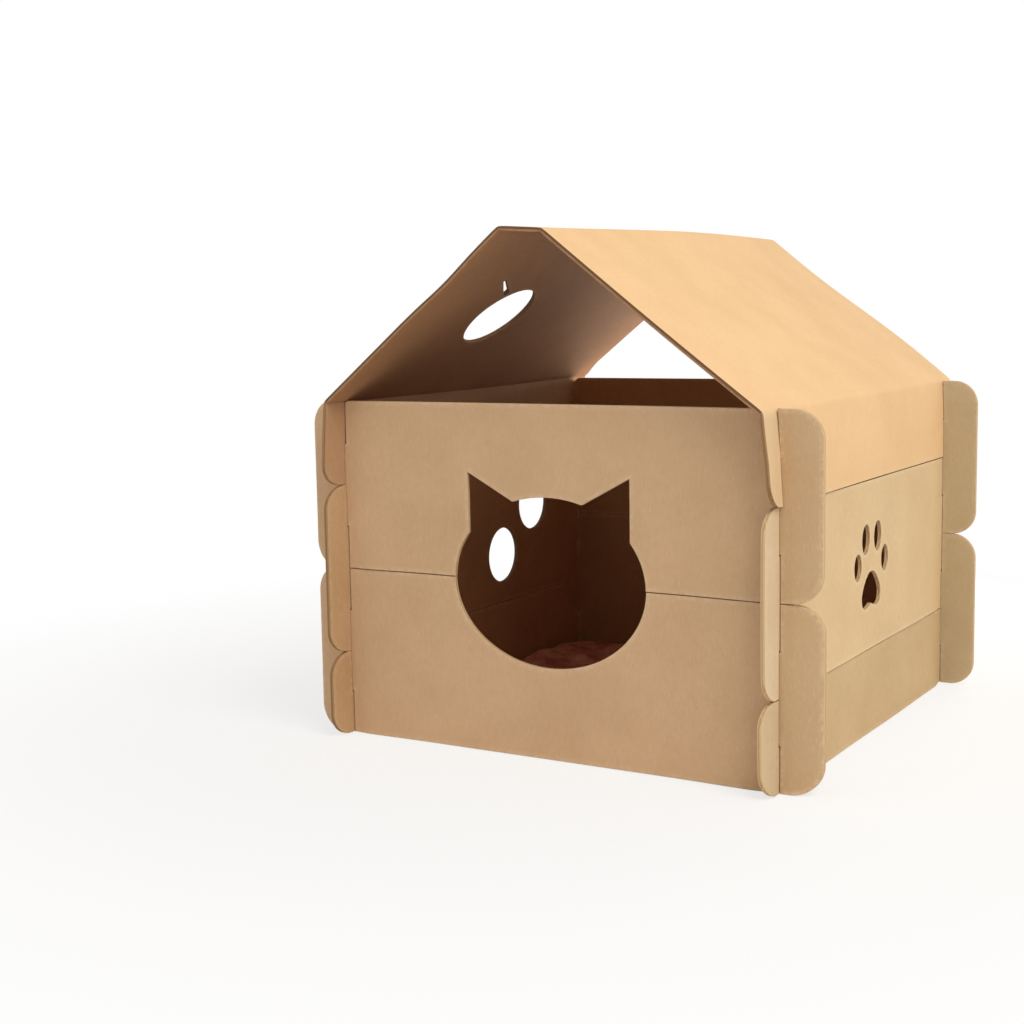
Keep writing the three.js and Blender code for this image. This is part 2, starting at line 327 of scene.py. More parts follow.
def mesh_object(name, points, faces, materials, of_face=None, attributes=None):
    """An object from arrays: points (n, 3), groups of faces with as many corners each, and attributes,
    which are numbers or vectors per point."""
    mesh = bpy.data.meshes.new(name)
    corners = np.concatenate([group.ravel() for group in faces])
    sizes = np.concatenate([np.full(len(group), group.shape[1]) for group in faces])
    mesh.vertices.add(len(points))
    mesh.vertices.foreach_set("co", points.astype(np.float32).ravel())
    mesh.loops.add(len(corners))
    mesh.loops.foreach_set("vertex_index", corners.astype(np.int32))
    mesh.polygons.add(len(sizes))
    mesh.polygons.foreach_set("loop_start", (np.cumsum(sizes) - sizes).astype(np.int32))
    if of_face is not None:
        mesh.polygons.foreach_set("material_index", of_face.astype(np.int32))
    mesh.update(calc_edges=True)
    mesh.shade_smooth()
    for label, values in (attributes or {}).items():
        kind, key = ("FLOAT", "value") if values.ndim == 1 else ("FLOAT_VECTOR", "vector")
        mesh.attributes.new(label, kind, "POINT").data.foreach_set(key, values.astype(np.float32).ravel())
    for material in materials:
        mesh.materials.append(material)
    piece = bpy.data.objects.new(name, mesh)
    bpy.context.scene.collection.objects.link(piece)
    return piece


def board(name, loops, place, across_axis, zones, materials, seed, extra, squeeze=None):
    """A closed sheet of corrugated board. Loops are its flat outline and holes, place(flat, through) puts
    flat points in the room, and across_axis is the flat axis that the flutes lie across. The materials are
    in the order of the six numbers above. Zones(flat) tells which points are on ears, how far each is mixed
    towards the grey tone, and which lie on a crushed stretch of the outline, painted with shade: there the
    cut's outer half takes the darker edge colour and its inner half the inner liner."""
    loops = [divided(loop) for loop in loops]
    cut, away = np.concatenate(loops), np.concatenate([outward(loop) for loop in loops])
    flat, triangles = filled([loop - lip * outward(loop) for loop in loops], extra)
    total, count, ahead = len(flat), len(cut), after_each(loops)

    rows = len(through_rows) - 2
    through, sunk = np.repeat(through_rows[1:-1], count), np.repeat(sunk_rows[1:-1], count)
    along, in_cut = np.tile(cut, (rows, 1)), sunk == 0
    paper = paper_in_cut(along[:, across_axis], through, seed)
    sunk = sunk + hollow_depth * (1 - paper) * in_cut
    band = along - sunk[:, None] * np.tile(away, (rows, 1))

    worn = np.where(np.arange(total) < count, 1.0, 0.0)
    half = thickness / 2 - crush * worn
    every_flat = np.concatenate((flat, flat, band))
    every_through = np.concatenate((half, -half, through))
    if squeeze is not None:
        every_through = squeeze(every_flat, every_through)
    points = place(every_flat, every_through)

    number = np.arange(count) + count * np.arange(len(through_rows))[:, None] + 2 * total - count
    number[0], number[-1] = np.arange(count), total + np.arange(count)
    quads = np.stack((number[:-1], number[1:], number[1:, ahead], number[:-1, ahead]), axis=-1)
    on_ear, _, crushed = zones(cut)
    crushed, within = crushed & crushed[ahead], np.where(on_ear, ear_face, inner_face)
    # On crushed stretches the cut is painted with shade: the dark edge colour, and the inner liner on its
    # inner half.
    finish = np.tile(np.where(crushed, crushed_shade_cut, plain_cut), (len(quads), 1))
    finish[len(quads) // 2:] = np.where(crushed, within, plain_cut)
    finish[:, len(loops[0]):] = hole_cut
    finish[0], finish[-1] = outer_face, within
    inner = np.where(zones(flat[triangles].mean(1))[0], ear_face, inner_face)
    of_face = np.concatenate((np.full(len(triangles), outer_face), inner, finish.ravel()))
    pattern = every_flat if across_axis == 0 else every_flat[:, ::-1]
    attributes = {
        "flat": np.concatenate((pattern, every_through[:, None]), axis=1),
        "paper": np.concatenate((np.ones(2 * total), np.where(in_cut, paper, 1))),
        "worn": np.concatenate((worn, worn, np.ones(len(band)))),
        "grey_mix": zones(every_flat)[1],
    }
    faces = (triangles, triangles[:, ::-1] + total, quads.reshape(-1, 4))
    piece = mesh_object(name, points, faces, materials, of_face, attributes)
    piece.data.set_sharp_from_angle(angle=sharp_angle)
    print(name, "has", 2 * len(triangles) + 2 * finish.size, "triangles")
    return piece


# %% [markdown]
# A material is a small tree of nodes, and one helper adds, sets up and links any node. Colours are
# given as they look on a screen, in sRGB, and turned into the linear values that light is reckoned in.

# %% Two helpers for materials
def linear(code):
    """An sRGB colour written #rrggbb as linear red, green, blue and full alpha: below 0.04045 the value
    is divided by 12.92, and above it is ((v + 0.055) / 1.055)^2.4."""
    value = np.array([int(code[k:k + 2], 16) for k in (1, 3, 5)]) / 255
    curved = np.where(value <= 0.04045, value / 12.92, ((value + 0.055) / 1.055) ** 2.4)
    return (*curved.tolist(), 1.0)


def add(tree, kind, inputs=None, output=0, **settings):
    """Adds one node, sets its properties, fills its inputs with values or links, and gives one of its
    outputs to link onwards."""
    node = tree.nodes.new("ShaderNode" + kind)
    for key, value in settings.items():
        setattr(node, key, value)
    for key, value in (inputs or {}).items():
        if isinstance(value, bpy.types.NodeSocket):
            tree.links.new(value, node.inputs[key])
        else:
            node.inputs[key].default_value = value
    return node.outputs[output] if len(node.outputs) else None


def new_tree(owners, name):
    """A new material or world, and its tree of nodes, emptied."""
    owner = owners.new(name)
    owner.use_nodes = True
    owner.node_tree.nodes.clear()
    return owner, owner.node_tree


# %% [markdown]
# Kraft liner is unbleached paper: a matt tan with slow patches where the pulp was thicker, a cloudy grain
# of a few millimetres, and thin dark and pale fibre flecks along the machine direction. Real fibres are far
# below a pixel, so the flecks are drawn 0.9 mm wide. Over the flutes the liner dips by a few hundredths of
# a millimetre, which shows as a faint washboard in low light. The liner of the ears at the right front
# corner, which catch the most light, is mixed towards a greyer tone.

# %% Kraft liner
patch_size, grain_size, dent_size = 60 * mm, 5 * mm, 45 * mm
fleck_width, fleck_length = 0.9 * mm, 7 * mm
tooth_size, tooth_height = 0.8 * mm, 0.05 * mm
washboard_height, dent_height, paper_ior = 0.02 * mm, 0.45 * mm, 1.45


def kraft_liner(name, tone, dark, pale, grey_mix=None):
    """Unbleached kraft paper. The tone is mixed towards dark by patches, grain and flecks, and towards pale
    by light flecks and where the margin of a cut is scuffed. The stored grey value mixes it towards its
    grey tone, where it has one."""
    material, tree = new_tree(bpy.data.materials, name)
    place = add(tree, "TexCoord", output=3)
    flat = add(tree, "Attribute", output=1, attribute_name="flat")
    worn = add(tree, "Attribute", output=2, attribute_name="worn")
    stretch = (1 / fleck_width, 1 / fleck_length, 1 / fleck_width)
    fibres = add(tree, "VectorMath", {0: flat, 1: stretch}, operation="MULTIPLY")
    fleck = add(tree, "TexNoise", {"Vector": fibres, "Scale": 1.0, "Detail": 2.0})
    patches, grain, dents, tooth = (
        add(tree, "TexNoise", {"Vector": place, "Scale": 1 / size, "Detail": detail, "Roughness": rough})
        for size, detail, rough in (
            (patch_size, 3.0, 0.5), (grain_size, 5.0, 0.65), (dent_size, 2.0, 0.5), (tooth_size, 4.0, 0.7)))

    colour = linear(tone)
    if grey_mix:
        share = add(tree, "Attribute", output=2, attribute_name="grey_mix")
        colour = add(tree, "Mix", {0: share, 6: colour, 7: linear(grey_mix)}, 2, data_type="RGBA")
    layers = (
        (patches, 0.38, 0.72, 0.34, dark), (grain, 0.45, 0.75, 0.20, dark),
        (fleck, 0.60, 0.72, 0.26, dark), (fleck, 0.42, 0.30, 0.26, pale),
    )
    for value, low, high, strength, tint in layers:
        share = add(tree, "MapRange", {
            "Value": value, "From Min": low, "From Max": high, "To Max": strength})
        colour = add(tree, "Mix", {0: share, 6: colour, 7: linear(tint)}, 2, data_type="RGBA")
    rubbed = add(tree, "MapRange", {"Value": grain, "From Min": 0.4, "From Max": 0.65, "To Max": 0.75})
    rubbed = add(tree, "Math", {0: worn, 1: rubbed}, operation="MULTIPLY")
    colour = add(tree, "Mix", {0: rubbed, 6: colour, 7: linear(pale)}, 2, data_type="RGBA")

    across = add(tree, "SeparateXYZ", {0: flat})
    turn = add(tree, "Math", {0: across, 1: 2 * math.pi / flute_pitch}, operation="MULTIPLY")
    flutes = add(tree, "Math", {0: turn}, operation="SINE")
    bump = add(tree, "Bump", {"Height": flutes, "Distance": washboard_height})
    bump = add(tree, "Bump", {"Height": dents, "Distance": dent_height, "Normal": bump})
    bump = add(tree, "Bump", {"Height": tooth, "Distance": tooth_height, "Normal": bump})
    rough = add(tree, "MapRange", {
        "Value": grain, "From Min": 0.3, "From Max": 0.7, "To Min": 0.76, "To Max": 0.9})
    shader = add(tree, "BsdfPrincipled", {
        "Base Color": colour, "Roughness": rough, "Normal": bump, "IOR": paper_ior})
    add(tree, "OutputMaterial", {"Surface": shader})
    return material


roof_kraft = kraft_liner("kraft_liner_roof", "#F1CA98", "#DCB380", "#EFCBA0", "#DFC6A2")
side_kraft = kraft_liner("kraft_liner_sides", "#E2C69A", "#CCAB7D", "#ECD5AE", "#DDC8A7")
# The base boards' liner is a darker copy of the sides' liner: painted shade of the lowest boards.
base_kraft = kraft_liner("kraft_liner_base_painted_shade", "#D1B58A", "#BA9A6E", "#DEC49E", "#D3BB97")
end_kraft = kraft_liner("kraft_liner_ends", "#D5B18A", "#BE9770", "#E2C5A3", "#C7AA83")

# %% [markdown]
# The inside of the house is deep brown, because light loses some of its blue at every bounce. A
# renderer follows only the first few, so the inner faces get a browner liner, which makes up for the
# rest. The ears stand outside, so their inner faces show the inner liner's real tone.

# %% Inner liner and ears
inner_kraft = kraft_liner("kraft_liner_inside", "#B08054", "#92653D", "#C0966C")
side_inner_kraft = kraft_liner("kraft_liner_inside_sides", "#BC8C5F", "#9E7048", "#CAA177")
under_roof_kraft = kraft_liner("kraft_liner_under_roof", "#A57953", "#8B6340", "#B48C68")
side_ear_kraft = kraft_liner("kraft_liner_side_ears", "#C09D75", "#A8845C", "#CFB08A")
end_ear_kraft = kraft_liner("kraft_liner_end_ears", "#C0AD8B", "#AA946F", "#CFBE9F")
roof_ear_kraft = kraft_liner("kraft_liner_roof_drops_inside", "#B68F6B", "#9E7850", "#C29E7E")

# %% [markdown]
# A die-cut edge shows the papers on end: pale torn fibres on the ridges and brown shade in the hollows. The
# front, back and right walls' edges were cut clean and stay pale, and the left wall's and the drops' are
# given a darker tone as painted shade. Where boards rest on each other or cross, the edges are pressed and
# carry a darker painted shade, and the edges of the roof's slopes and of the roof's and left wall's holes
# carry the darkest painted shade.

# %% Cut edge
cut_fibre_size, cut_fibre_height = 1.1 * mm, 0.12 * mm


def cut_edge(name, ridge, hollow):
    """Paper seen on end: the stored paper value mixes hollow towards ridge, with fibre grain over it."""
    material, tree = new_tree(bpy.data.materials, name)
    place = add(tree, "TexCoord", output=3)
    paper = add(tree, "Attribute", output=2, attribute_name="paper")
    fibre = add(tree, "TexNoise", {
        "Vector": place, "Scale": 1 / cut_fibre_size, "Detail": 4.0, "Roughness": 0.7})
    share = add(tree, "MapRange", {"Value": paper, "From Min": 0.1, "From Max": 0.9})
    colour = add(tree, "Mix", {0: share, 6: linear(hollow), 7: linear(ridge)}, 2, data_type="RGBA")
    share = add(tree, "MapRange", {"Value": fibre, "From Min": 0.4, "From Max": 0.7, "To Max": 0.3})
    colour = add(tree, "Mix", {0: share, 6: colour, 7: linear(hollow)}, 2, data_type="RGBA")
    bump = add(tree, "Bump", {"Height": fibre, "Distance": cut_fibre_height})
    shader = add(tree, "BsdfPrincipled", {
        "Base Color": colour, "Roughness": 0.9, "Normal": bump, "IOR": paper_ior})
    add(tree, "OutputMaterial", {"Surface": shader})
    return material


# The last three edge colours are painted shade: a darker one for the edges of the left wall and the drops,
# one for seams and slots, and the darkest for the roof's slope edges and the roof's and left wall's holes.
cut_kraft = cut_edge("die_cut_kraft_edge", "#DABB91", "#C3A277")
shade_edge_kraft = cut_edge("kraft_edge_painted_shade", "#A9845E", "#94714D")
seam_shade_kraft = cut_edge("kraft_edge_painted_seam_shade", "#96724E", "#83623F")
shaded_kraft = cut_edge("kraft_edge_painted_deep_shade", "#76583A", "#62452C")
print("materials so far:", [material.name for material in bpy.data.materials])

# %% [markdown]
# Every wall board is a strip with four rounded corners and a slot at each end where the crossing
# boards pass, from the bottom, the top or both. Each slot or door is a detour from a straight edge.

# %% Slots and crossings
hair, straddle, slot_crush, grey_edge = 0.1 * mm, 1.5 * mm, 0.5 * mm, 1 * mm


def slot_at(centre, edge, depth, mouth=0.0):
    """The four corners of a slot cut from an edge, walked with the material on the left: depth is
    negative when the slot is cut down from a top edge. The mouth leans it over by that much."""
    half = slot_width / 2 * math.copysign(1, depth)
    return np.array(((centre - half + mouth, edge), (centre - half, edge + depth),
                     (centre + half, edge + depth), (centre + half + mouth, edge)))


def both_slots(crossing, edge, depth):
    """The slots at both ends of an edge, in walking order: left to right along a bottom edge, and
    right to left along a top one."""
    order = (-1, 1) if depth > 0 else (1, -1)
    return [slot_at(side * crossing, edge, depth) for side in order]


def beside(crossing):
    """Places that lie just inside the boards that cross this one at -crossing and crossing."""
    return [side * crossing + shift for side in (-1, 1) for shift in (-straddle, straddle)]


def crossed_at(crossing, seams, grey_mix):
    """A wall's zones: the ears past the crossing, how far the left or right ear (-1 or 1) is mixed towards
    the grey tone, and the edges in slots or at a seam's height, which are painted with shade. And columns
    of points at the crossing, which keep the change of liner inside the other board."""
    def zones(flat):
        x, z = flat[:, 0], flat[:, 1]
        crushed = np.abs(np.abs(x) - crossing) < thickness / 2 + slot_crush
        for seam in seams:
            crushed |= np.abs(z - seam) < hair
        grey = abs(grey_mix) * eased((grey_mix * x - crossing) / grey_edge + 0.5)
        return np.abs(x) > crossing, grey, crushed

    return zones, grid(beside(crossing), np.arange(0, roof_high.z, lattice_step))


# %% [markdown]
# The door is a cat's head on the seam of the front wall: an oval, and two ears that drop straight on
# the outside and slope in on the inside. The lower board holds the chin and the upper one the brow.

# %% The cat-head door
head_width, head_height = 180 * mm, 142 * mm
ear_inset, ear_width, ear_rise = 14 * mm, 43.5 * mm, 18.5 * mm
head_middle, head_radii = (0, seam_height), (head_width / 2, head_height / 2)


def brow():
    """The upper half of the head as a detour, walked left to right over the top."""
    wide, high = head_radii
    tip_x, tip_z = wide - ear_inset, seam_height + high + ear_rise
    outer = math.degrees(math.acos(tip_x / wide))
    foot = math.degrees(math.acos((tip_x - ear_width) / wide))
    return np.concatenate((
        arc(head_middle, head_radii, 180, 180 - outer), ((-tip_x, tip_z),),
        arc(head_middle, head_radii, 180 - foot, foot), ((tip_x, tip_z),),
        arc(head_middle, head_radii, outer, 0)))


def chin(edge):
    """The lower half of the head as a detour from the lower board's top edge, walked right to left."""
    drop = math.degrees(math.asin((seam_height - edge) / head_radii[1]))
    return arc(head_middle, head_radii, -drop, drop - 180)


# %% [markdown]
# Between its slots a board is free to bow a little, but at the slots it has to stay in its plane, or
# it would cut its neighbour. In front the upper board's edge stands proud of the lower one's by a
# millimetre, which deepens the soft dark line of the seam.

# %% Bows and the place of a wall
slot_grip, curl_fade, past_fade = 4 * mm, 35 * mm, 10 * mm
free_share, loose_share, past_share = 0.45, 0.09, 0.6
bow_wave, bow_wave_length, ear_curve = 0.5 * mm, 190 * mm, 1.5


def bowed(reach, crossing, bottom, top, bends, seed):
    """How far out of its plane a board stands, for flat points. The bends, in millimetres, are curls
    at its low and high edges that fade over 35 mm, a belly in its middle, and how far its left and
    right ears turn out past the slots."""
    low_curl, high_curl, belly, *ear_curls = np.array(bends) * mm

    def bow(flat):
        x, z = flat[:, 0], flat[:, 1]
        beside_slot, past_slot = crossing - slot_grip - np.abs(x), np.abs(x) - crossing - slot_grip
        free = eased(beside_slot / (free_share * crossing))
        loose = eased(beside_slot / (loose_share * crossing)) + past_share * eased(past_slot / past_fade)
        edges = low_curl * np.exp((bottom - z) / curl_fade) + high_curl * np.exp((z - top) / curl_fade)
        slow = bow_wave * uneven(x, z, bow_wave_length, seed)
        past = np.clip(past_slot / (reach - crossing - slot_grip), 0, 1)
        return loose * edges + free * (belly + slow) + past**ear_curve * np.where(x < 0, *ear_curls)
    return bow


def wall(facing, plane, bow):
    """Puts flat points on a wall that faces the front turned by facing degrees: flat x runs to the
    right as seen from outside, flat y runs up, and through points outwards."""
    turn = math.radians(facing)
    right, out = (math.cos(turn), math.sin(turn)), (math.sin(turn), -math.cos(turn))

    def place(flat, through):
        away = plane + bow(flat) + through
        return np.stack((right[0] * flat[:, 0] + out[0] * away,
                         right[1] * flat[:, 0] + out[1] * away, flat[:, 1]), axis=1)
    return place


# %% [markdown]
# The upper boards of the end walls are cut back beside their top slots, so that the roof can lean
# over them, and the slots lean by a few millimetres at the mouth, as the roof's drops do.

# %% Slots at the eaves
roof_angle = math.atan2(roof_high.z - wall_height, side_plane + thickness / 2 - ridge_width / 2)
clearance = 0.5 * mm


def eave_slot(side, edge, lean, sag):
    """The top slot at the left (-1) or right (1), its mouth leaning in, and the corner beside it cut
    back along the roof's underside, walked right to left. The roof sags by so much at its eave."""
    slot = slot_at(side * side_plane, edge, -slot_depth, -side * lean)
    outer, lowered = side_plane + thickness / 2, (thickness + clearance) / math.cos(roof_angle) + sag
    near = 3 if side > 0 else 0
    slot[near, 1] = wall_height - lowered + (outer - abs(slot[near, 0])) * math.tan(roof_angle)
    far = np.array(((side * (outer - (edge - wall_height + lowered) / math.tan(roof_angle)), edge),))
    return np.concatenate((slot, far) if side > 0 else (far, slot))


# %% [markdown]
# The right middle board has a paw cut through it: a pad, drawn as a soft curve with its top and foot
# pulled in, and four oval toes. The left one has two round play holes.

# %% Holes of the side walls
pad_width, pad_height, pad_below = 48 * mm, 31 * mm, 22 * mm
outer_toe = {"size": (18 * mm, 23 * mm), "out": 34 * mm, "up": 23 * mm}
inner_toe = {"size": (19 * mm, 26 * mm), "out": 15 * mm, "up": 45 * mm}
pad_top_share = (0.0, 1.0)
pad_side_shares = (
    ((0.42, 1.08), (0.95, 0.15), (1.0, -0.3)),
    ((1.02, -1.25), (0.45, -1.05), (0.0, -0.78)),
)
play_hole = 55 * mm
low_hole_behind, low_hole_below = 51 * mm, 25 * mm
high_hole_behind, high_hole_above = 60 * mm, 47 * mm


def hole(centre, size):
    """An oval hole, walked clockwise."""
    return joined(arc(centre, np.array(np.broadcast_to(size, 2)) / 2, 360, 0))


def paw(middle):
    """The five loops of the paw, placed from the middle of its pad. The pad's right side is two curves
    from its top to its foot, in shares of its half sizes, and its left side mirrors them."""
    half = np.array((pad_width, pad_height)) / 2
    centre = np.array((0.0, middle - pad_below))
    stops = [pad_top_share, *(shares[-1] for shares in pad_side_shares)]
    right = np.concatenate([bezier(start, *shares) for start, shares in zip(stops, pad_side_shares)])
    pad = np.concatenate((right, right[::-1] * (-1, 1))) * half + centre
    toes = [hole((side * toe["out"], centre[1] + toe["up"]), toe["size"])
            for side in (-1, 1) for toe in (outer_toe, inner_toe)]
    return [joined(pad), *toes]


def play_holes(middle):
    """The two round holes of the left wall. Seen from outside, the back of the house is on its left."""
    low = (-low_hole_behind, middle - low_hole_below)
    high = (low[0] - high_hole_behind, low[1] + high_hole_above)
    return [hole(low, play_hole), hole(high, play_hole)]


# %% [markdown]
# An end wall is two full boards, and a side wall is a half-height board, a full one and the roof's
# own drop. One function builds the eight boards. It reads from a board's box where the board stands,
# and so which slots it needs, and gives the front boards their halves of the door.

# %% The wall boards
def wall_board(name, facing, body, seed, bends, liners, holes=(), leans=(0, 0), sags=(0, 0)):
    """One board, on the body and in the place of the node of its name. It faces the front turned by
    facing degrees. Bends, and the leans and sags of the left and right eaves, are in millimetres."""
    is_end = facing % 180 == 0
    plane, crossing, reach, corner, slot = (
        (end_plane, side_plane, end_reach, end_corner, "kraft_end") if is_end
        else (side_plane, end_plane, side_reach, side_corner, "kraft_side"))
    low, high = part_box(name)
    on_floor, at_eaves = low.z < course / 2, is_end and low.z > seam_height / 2
    bottom, top = low.z, high.z + (0 if at_eaves else seam_closed)
    low_detours = both_slots(crossing, bottom, slot_depth) if is_end or not on_floor else []
    high_detours = both_slots(crossing, top, -slot_depth + seam_gap - seam_closed)
    if at_eaves:
        high_detours = [eave_slot(side, top, leans[k] * mm, sags[k] * mm) for k, side in ((1, 1), (0, -1))]
    if facing == 0 and at_eaves:
        low_detours.insert(1, brow())
    elif facing == 0:
        high_detours.insert(1, chin(top))
    seams = [edge for edge, rests in ((bottom, not on_floor), (top, not at_eaves)) if rests]
    grey_mix = {0: 1, 90: -1}.get(facing, 0)  # the ears at the right front corner
    zones, columns = crossed_at(crossing, seams, grey_mix)
    outline = rounded((-reach, bottom), (reach, top), corner, bottom=low_detours, top=high_detours)
    place = wall(facing, plane, bowed(reach, crossing, bottom, top, bends, seed))
    piece = board(name + "_board", [outline, *holes], place, 0, zones, liners, seed, columns)
    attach(piece, body)
    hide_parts(name)


def side_liners(kraft, cut, *hole_cuts):
    """The materials of a side board, in the order that board takes."""
    return kraft, side_inner_kraft, cut, side_ear_kraft, seam_shade_kraft, *hole_cuts


ends = (end_kraft, inner_kraft, cut_kraft, end_ear_kraft, seam_shade_kraft)
middle = course + seam_height / 2
wall_board("front_lower", 0, "lower_end_walls", 11, (1.5, -0.4, -2, -4, -9), ends)
wall_board("back_lower", 180, "lower_end_walls", 12, (0, 0.2, 0.5, -1.2, 0.6), ends)
wall_board("front_upper", 0, "upper_end_walls", 13, (1.0, 0.4, -3, -4, -5), ends,
           leans=(0, 2.5), sags=(0, 4.2))
wall_board("back_upper", 180, "upper_end_walls", 14, (0.4, 0.6, 0.5, -2.4, 0.6), ends,
           leans=(1.5, -3.25), sags=(1.8, 0))
wall_board("side_bottom_right", 90, "base_boards", 21, (2.5, -0.4, 0, -4.5, 0.6),
           side_liners(base_kraft, cut_kraft))
wall_board("side_bottom_left", 270, "base_boards", 22, (0, -0.5, 0.3, 0.8, 3),
           side_liners(base_kraft, shade_edge_kraft))
wall_board("side_middle_right", 90, "middle_side_boards", 23, (0.8, 0.8, 0.2, -1.5, 0.6),
           side_liners(side_kraft, cut_kraft, cut_kraft), paw(middle))
wall_board("side_middle_left", 270, "middle_side_boards", 24, (0.8, -0.5, 0.3, 0.8, 3.5),
           side_liners(side_kraft, shade_edge_kraft, shaded_kraft), play_holes(middle))

# %% [markdown]
# The roof is one sheet with four folds: a drop on each side, two slopes and a narrow flat ridge. It is
# drawn flat like any board, and then carried along its section. The section's heading is constant on
# straight stretches and turns evenly on each fold, so the place at any length along it is the running
# sum of (cos heading, sin heading).

# %% The roof's folded section
fold_inner, section_steps = 1.5 * mm, 30001
fold_middle = fold_inner + thickness / 2
outer_side = side_plane + thickness / 2
section_corners = np.array(((-outer_side, wall_height), (-ridge_width / 2, roof_high.z),
                            (ridge_width / 2, roof_high.z), (outer_side, wall_height)))
headings = np.array((math.pi / 2, roof_angle, 0.0, -roof_angle, -math.pi / 2))
half_turns = (headings[:-1] - headings[1:]) / 2
leans = (headings[:-1] + headings[1:]) / 2
out_of_corner = np.stack((-np.sin(leans), np.cos(leans)), axis=1)
middle_corners = section_corners - (thickness / 2 / np.cos(half_turns))[:, None] * out_of_corner
start_point, end_point = (-side_plane, roof_low.z), (side_plane, roof_low.z)
stops = np.concatenate(((start_point,), middle_corners, (end_point,)))
straights = np.linalg.norm(np.diff(stops, axis=0), axis=1)
tangents = fold_middle * np.tan(half_turns)
straights[:-1] -= tangents
straights[1:] -= tangents
lengths = np.zeros(2 * len(headings) - 1)
lengths[0::2], lengths[1::2] = straights, 2 * half_turns * fold_middle
knots = np.concatenate(((0,), np.cumsum(lengths)))
knot_headings = np.repeat(headings, 2)
sheet_width = knots[-1]
fold_centres = (knots[1:-1:2] + knots[2:-1:2]) / 2

fine = np.linspace(0, sheet_width, section_steps)
fine_heading = np.interp(fine, knots, knot_headings)
steps = np.stack((np.cos(fine_heading), np.sin(fine_heading)), axis=1)
running = np.concatenate((np.zeros((1, 2)), np.cumsum((steps[1:] + steps[:-1]) / 2, axis=0)))
fine_place = np.array(start_point) + running * (fine[1] - fine[0])
print("the flat roof sheet is", round(sheet_width / mm), "by", round(2 * side_reach / mm), "mm")

# %% [markdown]
# A folded sheet relaxes. Its ridge drifts to the left, most at the front, and stands a little higher
# in the middle than at its ends. The left slope bellies out at the back, the right one sags at its
# eave, and the right drop flares out below, most at its free front corner. The end walls' slots hold
# the drops, so every shift of the eaves has faded out at the slots' feet.

# %% How the roof sheet relaxes
ridge_drift, ridge_drift_front = -2.7 * mm, -1.8 * mm
ridge_crown, ridge_lift, ridge_tilt = 2.5 * mm, 2.0 * mm, 1.3 * mm
eave_drift, eave_drift_front = -1.5 * mm, -1.0 * mm
eave_sag, eave_sag_front = -0.3 * mm, -1.7 * mm
left_belly, left_dip, right_sag, right_wave = 6.5 * mm, -1.6 * mm, -0.8 * mm, -1.4 * mm
drop_flare, drop_flare_front, corner_flare = 0.8 * mm, 2.4 * mm, 1.5 * mm
left_flare, left_corner_flare = 1.2 * mm, 4 * mm
flare_curve, left_corner_curve = 1.5, 0.7
front_from, front_run = 0.05, 0.285
crown_skew, dip_at, dip_reach = 1.3, 0.3, 0.13
belly_rise, belly_end, belly_fall = 0.3, 1.1, 0.2
pinch_reach, pinch_inside, pinch_outside = 3 * mm, 0.9 * mm, 0.25 * mm


def share_of(s, stretch):
    """How far s lies along a straight stretch of the section, from 0 to 1, stretches counted from 0."""
    low, high = knots[2 * stretch], knots[2 * stretch + 1]
    return np.clip((s - low) / (high - low), 0, 1)


def relaxed(s, y):
    """How far each point of the sheet shifts along its normal, along x and along z. Each shift is a
    size times shares that fade it along the section and from front to back."""
    front, back = eased((front_from - y) / front_run), eased(y / side_reach)
    to_back = np.clip((y + side_reach) / (2 * side_reach), 0, 1)
    down_left, down_right = 1 - share_of(s, 1), share_of(s, 3)
    low_left, low_right = 1 - share_of(s, 0), share_of(s, 4)
    upper_left, upper_right = np.clip(1 - 2 * low_left, 0, 1), np.clip(1 - 2 * low_right, 0, 1)
    at_ridge = (1 - down_left) * (1 - down_right)

    drift = at_ridge * (ridge_drift + ridge_drift_front * front)
    drift = drift + down_right * upper_right * (eave_drift + eave_drift_front * front)
    lift = at_ridge * (ridge_lift + ridge_crown * np.sin(math.pi * to_back**crown_skew)
                       + ridge_tilt * front * (1 - 2 * share_of(s, 2)))
    lift = lift + down_right * (1 - low_right) * (eave_sag + eave_sag_front * front)

    belly = eased(down_left / belly_rise) * eased((belly_end - down_left) / belly_fall) * upper_left
    dip = np.exp(-(((down_left - dip_at) / dip_reach) ** 2))
    out = left_belly * belly * back + left_dip * front * dip
    out = out + right_sag * front * np.sin(math.pi * down_right)
    out = out + right_wave * back * np.sin(2 * math.pi * down_right)
    corner = eased((-y - end_plane - slot_grip) / (side_reach - end_plane - slot_grip))
    out = out + low_right**flare_curve * (drop_flare + drop_flare_front * front + corner_flare * corner)
    out = out + low_left**flare_curve * left_flare
    return out + low_left**left_corner_curve * left_corner_flare * corner, drift, lift


def on_roof(flat, through):
    """Carries flat points (s, y) along the section: place(s) + normal * (through + out)."""
    s, y = np.clip(flat[:, 0], 0, sheet_width), flat[:, 1]
    x, z = (np.interp(s, fine, fine_place[:, k]) for k in (0, 1))
    z = z + np.minimum(flat[:, 0], 0) - np.maximum(flat[:, 0] - sheet_width, 0)
    heading = np.interp(s, knots, knot_headings)
    out, shift_x, lift = relaxed(s, y)
    away = through + out
    return np.stack((x - np.sin(heading) * away + shift_x, y, z + np.cos(heading) * away + lift), axis=1)


def pinched(flat, through):
    """A scored fold is thinner, more on its inside than on its outside, as a bell 3 mm wide."""
    near = np.exp(-(((flat[:, :1] - fold_centres) / pinch_reach) ** 2)).sum(1)
    loss = np.where(through < 0, pinch_inside, pinch_outside)
    return through - np.sign(through) * near * loss * np.abs(through) / (thickness / 2)


